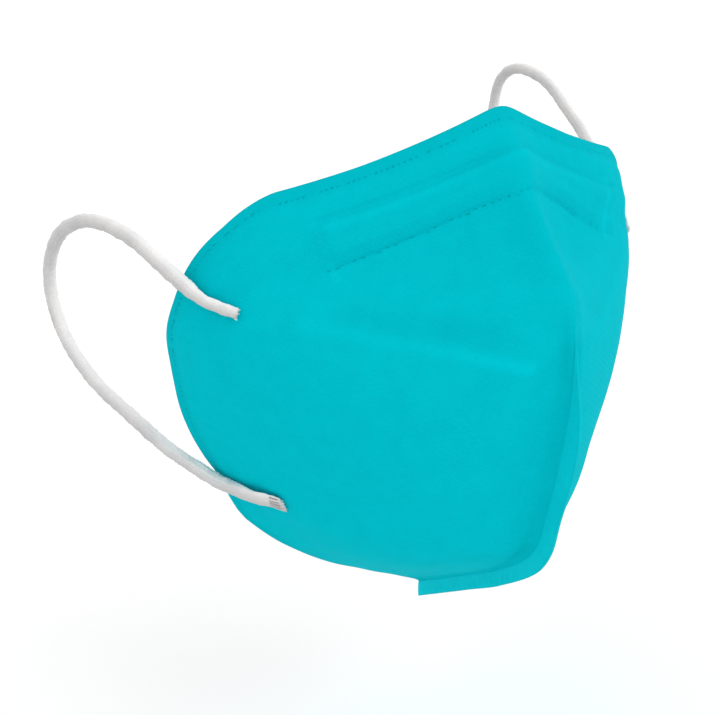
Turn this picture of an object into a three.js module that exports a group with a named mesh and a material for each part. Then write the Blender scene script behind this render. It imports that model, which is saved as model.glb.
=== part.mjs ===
// A vertical-fold respirator mask, opened out as it is worn, with its two elastic ear loops.
// Millimetres. +X is the wearer's left, -Y is the front and +Z is up. The origin is the middle of
// the opening that sits on the face.
//
// The mask is a folded web: one cheek panel on each side, joined along the centre line. The centre
// line is a soft fold from the nose down to the tip, and a welded seam from the tip round the chin.
import * as THREE from "three";

const clothWall = 1.4; // outer web, filter layers and inner web pressed together
const pieceGap = 0.3; // air between pieces that touch on the real mask
const leaveReach = 0.46; // how far a section holds its way out of the centre line, over its chord
const arriveReach = 0.34; // and its way in at the free edge
const wallRows = 30; // facets down each panel
const wallColumns = 24; // facets across each panel

// One row for each section of a cheek panel, from the top edge down to the bottom edge. A section
// starts on the centre line (ridgeY, ridgeZ) and ends at the free edge (edgeX, edgeY, edgeZ).
// leave and arrive are the degrees by which it bows out of its chord at each end, or hollows in
// where they are negative. dip and rise are the degrees by which it sags towards the chin.
const sections = [
  { ridgeY: -27, ridgeZ: 72, edgeX: 70, edgeY: -8.5, edgeZ: 52, leave: 3, arrive: 11, dip: 7, rise: -5 },
  { ridgeY: -36.5, ridgeZ: 57, edgeX: 73, edgeY: -4.5, edgeZ: 42, leave: -13, arrive: 38, dip: 4, rise: -2 },
  { ridgeY: -46, ridgeZ: 42.5, edgeX: 75.5, edgeY: 0, edgeZ: 31.5, leave: -20, arrive: 54, dip: -1, rise: -1 },
  { ridgeY: -54, ridgeZ: 28, edgeX: 76, edgeY: 4.5, edgeZ: 22, leave: 1, arrive: 53, dip: -3, rise: 0 },
  { ridgeY: -55, ridgeZ: 10.5, edgeX: 74, edgeY: 7.5, edgeZ: 12.5, leave: 16, arrive: 46, dip: -3, rise: 0 },
  { ridgeY: -53, ridgeZ: -9.5, edgeX: 72.5, edgeY: 8, edgeZ: 3, leave: 21, arrive: 37, dip: -3, rise: 1 },
  { ridgeY: -49, ridgeZ: -30, edgeX: 70, edgeY: 7.5, edgeZ: -6, leave: 23, arrive: 27, dip: -4, rise: 1 },
  { ridgeY: -45, ridgeZ: -42.5, edgeX: 67.5, edgeY: 6, edgeZ: -12.5, leave: 25, arrive: 21, dip: -5, rise: 0 },
  { ridgeY: -32.5, ridgeZ: -53, edgeX: 64, edgeY: 4.5, edgeZ: -19.5, leave: 24, arrive: 19, dip: -4, rise: 0 },
  { ridgeY: -18, ridgeZ: -62, edgeX: 61.5, edgeY: 4, edgeZ: -26, leave: 17, arrive: 17, dip: -4, rise: -2 },
  { ridgeY: -2.5, ridgeZ: -71.5, edgeX: 58.5, edgeY: 4, edgeZ: -32, leave: 8, arrive: 17, dip: -3, rise: -3 },
];
const runStep = 0.02; // half the stretch of panel over which the run of neighbouring sections is read
const normalStep = 0.01; // and over which the web's slope is read

// The corner between the top edge and the free edge is rounded off over these shares of the panel.
const roundedCorner = { down: 0.17, across: 0.22 };

// Folds pressed into both cheeks. Each runs from (down, across) to (toDown, toAcross) on the panel,
// where down is 0 at the top edge and 1 at the bottom edge, and across is 0 on the centre line and 1
// at the free edge. height is how far it stands out, and halfWidth how far it spreads.
const folds = {
  tipCrease: { down: 0.385, across: 0.09, toDown: 0.283, toAcross: 0.58, height: 0.7, halfWidth: 3 },
  hollowAbove: { down: 0.34, across: 0.17, toDown: 0.28, toAcross: 0.45, height: -1, halfWidth: 5 },
  hollowBySeam: { down: 0.35, across: 0.05, toDown: 0.68, toAcross: 0.05, height: -0.8, halfWidth: 4 },
};
const foldsRiseBy = 0.05; // folds fade out over this share of the panel beside the centre line
const panelWidth = 95; // centre line to free edge along a middle section
const panelHeight = 135; // top edge to bottom edge along a middle column

// The nose strip lies across the bridge, its upper and lower edges at these places down the panels.
const noseStrip = {
  upperReach: 0.63,
  lowerReach: 0.53,
  columns: 16,
  upperAtCentre: 0.055,
  upperAtEnd: 0.08,
  lowerAtCentre: 0.118,
  lowerAtEnd: 0.195,
  rows: 3,
  thickness: 1,
};

// The welded fin that stands out of the centre line from the tip to the back of the chin.
const fin = { from: 0.33, fullAt: 0.5, rootGap: 0.35, startWidth: 0.6, width: 3.8, thickness: 1.2, steps: 36 };

const loop = { diameter: 3.5, sides: 8, steps: 44 };
const loopEnd = { length: 7, width: 4.6, thickness: 1.4, corner: 0.8, lift: 0.4 };

// Where the middle of each flattened loop end lies on the cheek, and the way its strand leaves, for
// the left cheek. The right cheek mirrors it.
const welds = {
  upper: { down: 0.233, across: 0.797, leaves: [0.63, 0.70, 0.34] },
  lower: { down: 0.713, across: 0.772, leaves: [0.48, 0.87, 0.08] },
};

// Centre lines of the two strands, from the upper weld round to the lower weld.
const rightLoopRoute = [
  [-74.6, -11, 32.9],
  [-75.1, -9.1, 34.2],
  [-76, -6.4, 35.4],
  [-77.6, -5.1, 37.5],
  [-78, -0.9, 38.9],
  [-78.3, 4.5, 40.6],
  [-78.5, 9.8, 42.3],
  [-78.7, 16.4, 43.4],
  [-79, 28.9, 44.1],
  [-79.3, 42.9, 42.1],
  [-79.5, 56.4, 36.1],
  [-79.5, 64.7, 27.4],
  [-79.5, 66.6, 19.9],
  [-79.5, 64.6, 12.9],
  [-79.3, 57.2, 4.8],
  [-79, 42.2, -1.6],
  [-78.2, 25.1, -4.8],
  [-76.6, 16.3, -7.9],
  [-74.3, 11.5, -11.1],
  [-71.8, 7.6, -13.6],
  [-69, 5.3, -16.1],
  [-66.3, 3.2, -18.9],
  [-64.3, -0.2, -20],
  [-62.7, -3.7, -20.6],
  [-61.1, -6.4, -21.6],
];
const leftLoopRoute = [
  [74.6, -11, 32.9],
  [75.1, -9.1, 34.2],
  [76, -6.4, 35.4],
  [77.3, -2.5, 38.5],
  [77.6, 2.5, 45],
  [77.4, 10.1, 52.5],
  [77.6, 14.2, 57.1],
  [78, 20.2, 62.2],
  [78.8, 26.6, 67.4],
  [79.4, 31.8, 70.4],
  [79.9, 38.9, 72.5],
  [80.2, 45.2, 73],
  [80.5, 51.5, 70],
  [80.8, 55, 62],
  [80.5, 55, 51],
  [80, 52, 41],
  [79.5, 47, 31],
  [78.5, 40.5, 21],
  [77.5, 33, 12],
  [76.3, 26, 3.5],
  [74.8, 19, -4.5],
  [72.8, 12.3, -11.4],
  [69.6, 7.3, -16.4],
  [66.3, 3.2, -18.9],
  [64.3, -0.2, -20],
  [62.7, -3.7, -20.6],
  [61.1, -6.4, -21.6],
];

const teal = { color: 0x00bbc7, roughness: 0.85, metalness: 0 };
const tealWeld = { color: 0x00b3c0, roughness: 0.6, metalness: 0 };
const white = { color: 0xf2f2f0, roughness: 0.9, metalness: 0 };

function spline(points) {
  return new THREE.CatmullRomCurve3(points, false, "catmullrom", 0.5);
}

const ridgeLine = spline(sections.map((s) => new THREE.Vector3(0, s.ridgeY, s.ridgeZ)));
const freeEdge = spline(sections.map((s) => new THREE.Vector3(s.edgeX, s.edgeY, s.edgeZ)));
const bows = spline(sections.map((s) => new THREE.Vector3(s.leave, s.arrive, 0)));
const sags = spline(sections.map((s) => new THREE.Vector3(s.dip, s.rise, 0)));

// The run of the sections beside this one, from the top edge towards the bottom edge, made square
// to this section's chord.
function runDirection(down, along) {
  const above = Math.max(down - runStep, 0);
  const below = Math.min(down + runStep, 1);
  const run = ridgeLine.getPoint(below).add(freeEdge.getPoint(below));
  run.sub(ridgeLine.getPoint(above)).sub(freeEdge.getPoint(above));
  return run.projectOnPlane(along).normalize();
}

// A point of a left-hand section as a cubic curve, before any fold is pressed in.
function sectionPoint(down, across) {
  const start = ridgeLine.getPoint(down);
  const end = freeEdge.getPoint(down);
  const along = end.clone().sub(start);
  const chord = along.length();
  along.normalize();
  const run = runDirection(down, along);
  const out = run.clone().cross(along);
  const handle = (base, bow, sag, reach) => {
    const bowAngle = THREE.MathUtils.degToRad(bow);
    const sagAngle = THREE.MathUtils.degToRad(sag);
    return base
      .clone()
      .addScaledVector(along, reach * chord * Math.cos(bowAngle))
      .addScaledVector(out, Math.abs(reach) * chord * Math.sin(bowAngle))
      .addScaledVector(run, reach * chord * Math.sin(sagAngle));
  };
  const bow = bows.getPoint(down);
  const sag = sags.getPoint(down);
  const leaving = handle(start, bow.x, sag.x, leaveReach);
  const arriving = handle(end, bow.y, sag.y, -arriveReach);
  return new THREE.CubicBezierCurve3(start, leaving, arriving, end).getPoint(across);
}

// How far the folds push the web out at one place.
function foldHeight(down, across) {
  const here = new THREE.Vector3(across * panelWidth, down * panelHeight, 0);
  return Object.values(folds).reduce((height, fold) => {
    const line = new THREE.Line3(
      new THREE.Vector3(fold.across * panelWidth, fold.down * panelHeight, 0),
      new THREE.Vector3(fold.toAcross * panelWidth, fold.toDown * panelHeight, 0),
    );
    const away = line.closestPointToPoint(here, true, new THREE.Vector3()).distanceTo(here);
    return height + fold.height * Math.exp(-((away / fold.halfWidth) ** 2));
  }, 0);
}

// The outward normal of the unfolded section surface. On the centre line it is the mitre of both
// panels, so a lifted web keeps its thickness over the ridge.
function outward(down, across) {
  const downward = sectionPoint(Math.min(down + normalStep, 1), across);
  downward.sub(sectionPoint(Math.max(down - normalStep, 0), across));
  const sideways = sectionPoint(down, Math.min(across + normalStep, 1));
  sideways.sub(sectionPoint(down, Math.max(across - normalStep, 0)));
  const normal = downward.cross(sideways).normalize();
  if (across > 0) return normal;
  normal.x = 0;
  return normal.divideScalar(normal.lengthSq());
}

// A place on the square pattern, drawn in so that the corner of the pattern becomes an arc.
function roundedPlace(down, across) {
  const byEdge = Math.max(0, 1 - (1 - across) / roundedCorner.across);
  const byTop = Math.max(0, 1 - down / roundedCorner.down);
  if (!byEdge || !byTop) return [down, across];
  return [
    roundedCorner.down * (1 - byTop * Math.sqrt(1 - byEdge ** 2 / 2)),
    1 - roundedCorner.across * (1 - byEdge * Math.sqrt(1 - byTop ** 2 / 2)),
  ];
}

// A point of a cheek: side is 1 for the left and -1 for the right, and lift is measured outwards.
function cheekPoint(side, patternDown, patternAcross, lift) {
  const [down, across] = roundedPlace(patternDown, patternAcross);
  const push = lift + foldHeight(down, across) * Math.min(1, across / foldsRiseBy);
  const point = sectionPoint(down, across).addScaledVector(outward(down, across), push);
  point.x *= side;
  return point;
}

// A closed wall between two grids of points of the same size: its two faces and its four rims.
function wallGeometry(outer, inner) {
  const rows = outer.length;
  const columns = outer[0].length;
  const corners = [...outer.flat(), ...inner.flat()];
  const outerAt = (row, column) => row * columns + column;
  const innerAt = (row, column) => rows * columns + outerAt(row, column);
  const faces = [];
  const quad = (a, b, c, d) => faces.push(a, b, c, a, c, d);
  for (let row = 0; row + 1 < rows; row += 1) {
    for (let column = 0; column + 1 < columns; column += 1) {
      const next = column + 1;
      quad(outerAt(row, column), outerAt(row + 1, column), outerAt(row + 1, next), outerAt(row, next));
      quad(innerAt(row, column), innerAt(row, next), innerAt(row + 1, next), innerAt(row + 1, column));
    }
    const last = columns - 1;
    quad(outerAt(row, 0), innerAt(row, 0), innerAt(row + 1, 0), outerAt(row + 1, 0));
    quad(outerAt(row, last), outerAt(row + 1, last), innerAt(row + 1, last), innerAt(row, last));
  }
  for (let column = 0; column + 1 < columns; column += 1) {
    const last = rows - 1;
    const next = column + 1;
    quad(outerAt(0, column), outerAt(0, next), innerAt(0, next), innerAt(0, column));
    quad(outerAt(last, column), innerAt(last, column), innerAt(last, next), outerAt(last, next));
  }
  const geometry = new THREE.BufferGeometry().setFromPoints(corners);
  geometry.setIndex(faces);
  geometry.computeVertexNormals();
  return geometry;
}

function grid(rows, columns, pointAt) {
  return Array.from({ length: rows + 1 }, (_, row) =>
    Array.from({ length: columns + 1 }, (_, column) => pointAt(row / rows, column / columns)),
  );
}

// One cheek panel. It stops half a gap short of the centre plane, where the other one meets it.
function panelGeometry(side) {
  const face = (lift) =>
    grid(wallRows, wallColumns, (down, share) => {
      const across = side > 0 ? share : 1 - share;
      const point = cheekPoint(side, down, across, lift);
      point.x = side * Math.max(side * point.x, pieceGap / 2);
      return point;
    });
  return wallGeometry(face(0), face(-clothWall));
}

// The nose strip follows both panels over the bridge, from the right cheek to the left.
function noseStripGeometry() {
  const face = (lift) =>
    grid(noseStrip.rows, noseStrip.columns, (depth, share) => {
      const swing = 2 * share - 1;
      const out = Math.abs(swing);
      const upper = THREE.MathUtils.lerp(noseStrip.upperAtCentre, noseStrip.upperAtEnd, out);
      const lower = THREE.MathUtils.lerp(noseStrip.lowerAtCentre, noseStrip.lowerAtEnd, out);
      const down = THREE.MathUtils.lerp(upper, lower, depth);
      const reach = THREE.MathUtils.lerp(noseStrip.upperReach, noseStrip.lowerReach, depth);
      return cheekPoint(Math.sign(swing) || 1, down, out * reach, lift);
    });
  return wallGeometry(face(pieceGap + noseStrip.thickness), face(pieceGap));
}

// The fin is a flat plate in the centre plane. Its root follows the centre line just outside the
// panels, and its crest stands off by the fin's width, which grows in from nothing at the tip.
function finGeometry() {
  const root = [];
  const crest = [];
  for (let step = 0; step <= fin.steps; step += 1) {
    const down = THREE.MathUtils.lerp(fin.from, 1, step / fin.steps);
    const grown = THREE.MathUtils.smoothstep(down, fin.from, fin.fullAt);
    const at = ridgeLine.getPoint(down);
    const out = outward(down, 0).normalize();
    const width = THREE.MathUtils.lerp(fin.startWidth, fin.width, grown);
    root.push(at.clone().addScaledVector(out, fin.rootGap));
    crest.push(at.addScaledVector(out, fin.rootGap + width));
  }
  const outline = [...root, ...crest.reverse()].map((p) => new THREE.Vector2(p.y, p.z));
  const plate = new THREE.ExtrudeGeometry(new THREE.Shape(outline), {
    depth: fin.thickness,
    bevelEnabled: false,
  });
  plate.translate(0, 0, -fin.thickness / 2);
  // The outline's own axes become Y and Z, and the plate's thickness becomes X.
  const standUp = new THREE.Matrix4().makeBasis(
    new THREE.Vector3(0, 1, 0),
    new THREE.Vector3(0, 0, 1),
    new THREE.Vector3(1, 0, 0),
  );
  return plate.applyMatrix4(standUp);
}

function roundedRectangle(length, width, corner) {
  const shape = new THREE.Shape();
  const halfLength = length / 2;
  const halfWidth = width / 2;
  shape.moveTo(-halfLength, -halfWidth);
  shape.lineTo(halfLength - corner, -halfWidth);
  shape.quadraticCurveTo(halfLength, -halfWidth, halfLength, corner - halfWidth);
  shape.lineTo(halfLength, halfWidth - corner);
  shape.quadraticCurveTo(halfLength, halfWidth, halfLength - corner, halfWidth);
  shape.lineTo(-halfLength, halfWidth);
  return shape;
}

// The flattened end of a strand, lying on the outside of the left cheek where it is welded on.
function loopEndGeometry(weld) {
  const normal = outward(weld.down, weld.across);
  const across = new THREE.Vector3(...weld.leaves).cross(normal).normalize();
  const cutEnd = across.clone().cross(normal);
  const pad = new THREE.ExtrudeGeometry(
    roundedRectangle(loopEnd.length, loopEnd.width, loopEnd.corner),
    { depth: loopEnd.thickness, bevelEnabled: false, curveSegments: 4 },
  );
  pad.applyMatrix4(new THREE.Matrix4().makeBasis(cutEnd, across, normal));
  const at = cheekPoint(1, weld.down, weld.across, loopEnd.lift);
  return pad.translate(at.x, at.y, at.z);
}

function loopGeometry(route) {
  const section = new THREE.Shape();
  section.absarc(0, 0, loop.diameter / 2, 0, 2 * Math.PI, false);
  return new THREE.ExtrudeGeometry(section, {
    extrudePath: new THREE.CatmullRomCurve3(route.map((p) => new THREE.Vector3(...p))),
    steps: loop.steps,
    curveSegments: loop.sides / 2,
  });
}

function piece(name, geometry, look) {
  const mesh = new THREE.Mesh(geometry, new THREE.MeshStandardMaterial(look));
  mesh.name = name;
  return mesh;
}

const mask = new THREE.Group();
mask.add(piece("panel_right", panelGeometry(-1), teal));
mask.add(piece("panel_left", panelGeometry(1), teal));
mask.add(piece("nose_strip", noseStripGeometry(), teal));
mask.add(piece("chin_seam", finGeometry(), tealWeld));
mask.add(piece("ear_loop_right", loopGeometry(rightLoopRoute), white));
mask.add(piece("ear_loop_left", loopGeometry(leftLoopRoute), white));
for (const [height, weld] of Object.entries(welds)) {
  const left = piece("loop_end_left_" + height, loopEndGeometry(weld), white);
  const right = left.clone();
  right.name = "loop_end_right_" + height;
  right.scale.x = -1;
  mask.add(right, left);
}

export default mask;
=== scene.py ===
import math
import random
import bmesh
import bpy
import numpy as np
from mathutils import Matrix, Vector, noise


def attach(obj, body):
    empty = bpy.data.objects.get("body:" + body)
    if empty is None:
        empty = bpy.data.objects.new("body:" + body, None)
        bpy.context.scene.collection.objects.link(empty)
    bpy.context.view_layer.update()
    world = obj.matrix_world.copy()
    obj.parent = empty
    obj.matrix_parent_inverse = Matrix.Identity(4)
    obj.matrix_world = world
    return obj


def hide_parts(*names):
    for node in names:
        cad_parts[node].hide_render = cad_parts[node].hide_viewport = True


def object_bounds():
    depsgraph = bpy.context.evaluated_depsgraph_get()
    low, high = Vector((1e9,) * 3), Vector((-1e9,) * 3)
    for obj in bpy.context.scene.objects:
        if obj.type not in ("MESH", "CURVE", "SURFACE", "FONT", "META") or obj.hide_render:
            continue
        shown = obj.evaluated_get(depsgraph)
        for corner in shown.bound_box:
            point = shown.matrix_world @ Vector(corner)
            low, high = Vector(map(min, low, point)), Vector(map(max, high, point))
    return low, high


# A vertical-fold respirator mask, opened out as it is worn, with two knitted ear loops.
# Metres. +X is the wearer's left, -Y is the front and +Z is up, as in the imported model.
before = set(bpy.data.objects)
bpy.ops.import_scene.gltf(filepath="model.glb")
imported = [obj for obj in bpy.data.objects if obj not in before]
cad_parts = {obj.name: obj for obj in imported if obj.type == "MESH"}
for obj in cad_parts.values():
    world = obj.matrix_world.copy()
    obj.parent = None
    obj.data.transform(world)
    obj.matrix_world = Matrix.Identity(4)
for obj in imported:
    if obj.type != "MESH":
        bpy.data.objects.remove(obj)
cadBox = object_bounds()
random.seed(4)
print("frame:", len(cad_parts), "nodes")

mm = 0.001


# small helpers

def smoothStep(low, high, value):
    share = np.clip((value - low) / (high - low), 0, 1)
    return share * share * (3 - 2 * share)


def bell(value, halfWidth):
    return np.exp(-(value / halfWidth) ** 2)


def ripple(distance, shape):  # a rounded ridge, or a groove where its height is below 0
    return shape["height"] * bell(distance - shape["at"], shape["halfWidth"])


def mixed(first, second, share):
    return first + (second - first) * share


def unit(vectors):
    return vectors / np.linalg.norm(vectors, axis=-1, keepdims=True)


def throughRows(table, share):  # a smooth curve through evenly spaced rows, at shares from 0 to 1
    last = len(table) - 1
    place = np.clip(share, 0, 1) * last
    row = np.minimum(place.astype(int), last - 1)
    part = (place - row)[:, None]
    rows = np.vstack([2 * table[0] - table[1], table, 2 * table[-1] - table[-2]])
    before, here, after, beyond = (rows[row + step] for step in range(4))
    return 0.5 * (2 * here + (after - before) * part
                  + (2 * before - 5 * here + 4 * after - beyond) * part ** 2
                  + (3 * here - before - 3 * after + beyond) * part ** 3)


def link(name, data):
    made = bpy.data.objects.new(name, data)
    bpy.context.scene.collection.objects.link(made)
    return made


def flatGrid(steps, strips, size):  # a flat sheet of faces, and where each of its points lies
    bm = bmesh.new()
    bmesh.ops.create_grid(bm, x_segments=steps, y_segments=strips, size=size)
    bm.verts.ensure_lookup_table()
    bm.verts.index_update()
    return bm, np.array([vert.co[:2] for vert in bm.verts])


def mapFaces(bm, name, places):  # a UV map with one place for each vertex
    layer = bm.loops.layers.uv.new(name)
    for face in bm.faces:
        for corner in face.loops:
            corner[layer].uv = tuple(places[corner.vert.index])


def placeVerts(bm, points, **marks):  # moves the vertices and stores values there for the materials
    layers = [(bm.verts.layers.float.new(name), values) for name, values in marks.items()]
    for index, vert in enumerate(bm.verts):
        vert.co = points[index]
        for layer, values in layers:
            vert[layer] = values[index]


def meshObject(name, bm, materials, smooth=True):
    mesh = bpy.data.meshes.new(name)
    bm.to_mesh(mesh)
    bm.free()
    for material in materials:
        mesh.materials.append(material)
    if smooth:
        mesh.shade_smooth()
    else:
        mesh.shade_flat()
    return link(name, mesh)


# camera

view = {
    "place": (-0.17641, -0.19658, 0.09586),
    "heading": 38,  # degrees round from straight at the front
    "fall": 20,
    "lens": 50,
    "sensor": 36,
}


def makeCamera():
    heading, fall = math.radians(view["heading"]), math.radians(view["fall"])
    level = math.cos(fall)
    looking = Vector((math.sin(heading) * level, math.cos(heading) * level, -math.sin(fall)))
    data = bpy.data.cameras.new("viewCamera")
    data.lens = view["lens"]
    data.sensor_width = view["sensor"]
    data.clip_start = 0.01
    camera = link("viewCamera", data)
    camera.location = view["place"]
    camera.rotation_euler = looking.to_track_quat("-Z", "Y").to_euler()
    bpy.context.scene.camera = camera


makeCamera()
print("camera set")


# the form of the cloth

# One row for each section of a cheek panel, from the top edge down. A section runs from its place on
# the centre line, the ridge, to its place on the free edge, the edge. Leave and arrive are the degrees
# by which it bows out of its chord at those ends, and dip and rise those by which it turns downwards.
sections = [
    dict(ridge=(-0.027, 0.072), edge=(0.07, -0.0085, 0.052), leave=3, arrive=11, dip=7, rise=-5),
    dict(ridge=(-0.0365, 0.057), edge=(0.073, -0.0045, 0.042), leave=-13, arrive=38, dip=4, rise=-2),
    dict(ridge=(-0.046, 0.0425), edge=(0.0755, 0, 0.0315), leave=-20, arrive=54, dip=-1, rise=-1),
    dict(ridge=(-0.054, 0.028), edge=(0.076, 0.0045, 0.022), leave=1, arrive=53, dip=-3, rise=0),
    dict(ridge=(-0.055, 0.0105), edge=(0.074, 0.0075, 0.0125), leave=16, arrive=46, dip=-3, rise=0),
    dict(ridge=(-0.053, -0.0095), edge=(0.0725, 0.008, 0.003), leave=21, arrive=37, dip=-3, rise=1),
    dict(ridge=(-0.049, -0.03), edge=(0.07, 0.0075, -0.006), leave=23, arrive=27, dip=-4, rise=1),
    dict(ridge=(-0.045, -0.0425), edge=(0.0675, 0.006, -0.0125), leave=25, arrive=21, dip=-5, rise=0),
    dict(ridge=(-0.0325, -0.053), edge=(0.064, 0.0045, -0.0195), leave=24, arrive=19, dip=-4, rise=0),
    dict(ridge=(-0.018, -0.062), edge=(0.0615, 0.004, -0.026), leave=17, arrive=17, dip=-4, rise=-2),
    dict(ridge=(-0.0025, -0.0715), edge=(0.0585, 0.004, -0.032), leave=8, arrive=17, dip=-3, rise=-3),
]
form = {
    "leaveReach": 0.46,  # how far a section holds its way out of the centre line, over its chord
    "arriveReach": 0.34,
    "runStep": 0.02,  # how far apart sections are compared to find the way down the cloth
    "rulerMarks": 41,
    "foldRound": 6 * mm,  # half width over which the soft fold above the tip is rounded
    "seamRound": 2 * mm,  # and the same beside the welded seam
    "roundPlaces": 7,  # how many nearby places are averaged for it
    "foldEnds": 0.3,
    "seamStarts": 0.42,
    "topCorner": (0.17, 0.22),  # shares of the panel over which the pattern's corners are rounded off
    "bottomCorner": (0.03, 0.045),
}
sectionTable = np.array([
    [*row["ridge"], *row["edge"], row["leave"], row["arrive"], row["dip"], row["rise"]]
    for row in sections
])


def ridgeOf(rows):
    return np.column_stack([np.zeros(len(rows)), rows[:, 0], rows[:, 1]])


def sectionPoint(down, across):  # the left cheek; across is 0 on the centre line, 1 at the free edge
    rows = throughRows(sectionTable, down)
    above = throughRows(sectionTable, np.maximum(down - form["runStep"], 0))
    below = throughRows(sectionTable, np.minimum(down + form["runStep"], 1))
    start, end = ridgeOf(rows), rows[:, 2:5]
    chord = np.linalg.norm(end - start, axis=1)[:, None]
    along = (end - start) / chord
    run = ridgeOf(below) + below[:, 2:5] - ridgeOf(above) - above[:, 2:5]
    run = unit(run - along * (run * along).sum(1)[:, None])
    out = np.cross(run, along)
    leave, arrive, dip, rise = np.radians(rows[:, 5:9]).T[:, :, None]
    first = form["leaveReach"] * chord
    second = form["arriveReach"] * chord
    leaving = start + first * (np.cos(leave) * along + np.sin(leave) * out + np.sin(dip) * run)
    arriving = end - second * (np.cos(arrive) * along - np.sin(arrive) * out + np.sin(rise) * run)
    part = across[:, None]
    return ((1 - part) ** 3 * start + 3 * (1 - part) ** 2 * part * leaving
            + 3 * (1 - part) * part ** 2 * arriving + part ** 3 * end)


def webPoint(down, swing):  # swing runs from -1 at the right free edge to 1 at the left one
    points = sectionPoint(down, np.abs(swing))
    points[:, 0] *= np.where(swing < 0, -1, 1)
    return points


def drawIn(away, across, corner):  # away is the share from the top or bottom edge
    byEdge = np.maximum(0, 1 - (1 - across) / corner[1])
    byAway = np.maximum(0, 1 - away / corner[0])
    inside = (byEdge > 0) & (byAway > 0)
    drawnAway = corner[0] * (1 - byAway * np.sqrt(1 - byEdge ** 2 / 2))
    drawnAcross = 1 - corner[1] * (1 - byEdge * np.sqrt(1 - byAway ** 2 / 2))
    return np.where(inside, drawnAway, away), np.where(inside, drawnAcross, across)


def cornerPlace(down, swing):  # the square pattern, drawn in so that its corners become arcs
    down, across = drawIn(down, np.abs(swing), form["topCorner"])
    up, across = drawIn(1 - down, across, form["bottomCorner"])
    return 1 - up, np.sign(swing) * across


def measureRuns():  # lengths of the columns and rows, to place things by the ruler
    marks = form["rulerMarks"]
    shares = np.linspace(0, 1, marks)
    down, across = (grid.ravel() for grid in np.meshgrid(shares, shares, indexing="ij"))
    points = sectionPoint(down, across).reshape(marks, marks, 3)
    columnRuns = np.linalg.norm(np.diff(points, axis=0), axis=2).sum(0)
    rowRuns = np.linalg.norm(np.diff(points, axis=1), axis=2).sum(1)
    return shares, columnRuns, rowRuns


ruler, columnRuns, rowRuns = measureRuns()


def columnLength(across):
    return np.interp(across, ruler, columnRuns)


def rowLength(down):
    return np.interp(down, ruler, rowRuns)


def roundedPoint(down, swing):  # webPoint with the centre line rounded as the cloth bends over it
    fromCentre = np.abs(swing) * rowLength(down)
    seamShare = smoothStep(form["foldEnds"], form["seamStarts"], down)
    reach = mixed(form["foldRound"], form["seamRound"], seamShare)
    reach = reach * (1 - smoothStep(2, 3, fromCentre / reach)) / rowLength(down)
    offsets = np.linspace(-1, 1, form["roundPlaces"] + 2)[1:-1]
    weights = np.cos(offsets * math.pi / 2) ** 2
    total = sum(weight * webPoint(down, swing + offset * reach)
                for offset, weight in zip(offsets, weights))
    return total / weights.sum()


# the ear loops

loop = {
    "diameter": 3.5 * mm,
    "around": 40,  # faces round the strand
    "ring": 0.26 * mm,  # and the spacing of its rings
    "wales": 10,  # ribs of stitches round the strand
    "stitch": 1.1 * mm,
    "stitchDepth": 0.13 * mm,
    "stitchSlope": 0.55,
    "ribDepth": 0.9,
    "lumps": 0.24 * mm,
    "lumpLength": 2 * mm,
    "routePlaces": 1500,
    "smoothing": 5 * mm,
    "lightFrom": (0.64, -0.15, 0.75),  # the knit is coloured darker on the side away from here
    "endLength": 7 * mm,
    "endLift": 0.85 * mm,
    "flattenOver": 9 * mm,
    "flatShare": 0.45,  # share of these two lengths over which an end is fully flat
    "shoulders": 0.35,  # how square a flattened end is
    # the left upper end is pressed flatter than the rest, and its strand keeps closer to the cheek
    "leftUpper": {"lift": 0.3 * mm, "height": 0.4, "settle": (1.7 * mm, 1.2 * mm, 0.8 * mm)},
    "pathStep": 12,  # rings between the points of the path that is handed on
}
welds = {  # where each flattened end lies on the cheek, and the way its strand leaves, for the left side
    "upper": dict(down=0.233, across=0.797, leaves=(0.63, 0.7, 0.34), width=0.76, height=0.6,
                  slant=0.1, slantOver=2 * mm),
    "lower": dict(down=0.713, across=0.772, leaves=(0.48, 0.87, 0.08), width=1.45, height=0.42,
                  slant=0.35, slantOver=3 * mm),
}
stamp = {  # the grooves that are pressed across a lower end
    "grooves": 5,
    "starts": (0.1 * mm, 0.4 * mm),
    "ends": (3 * mm, 3.4 * mm),
    "edges": (0.35, 0.8),
    "depth": 0.3 * mm,
}
dent = {  # and the one hollow in an upper end
    "from": 3.4 * mm,
    "length": 1.3 * mm,
    "aside": 0.2 * mm,
    "width": 1.1 * mm,
    "depth": 0.35 * mm,
}
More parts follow.
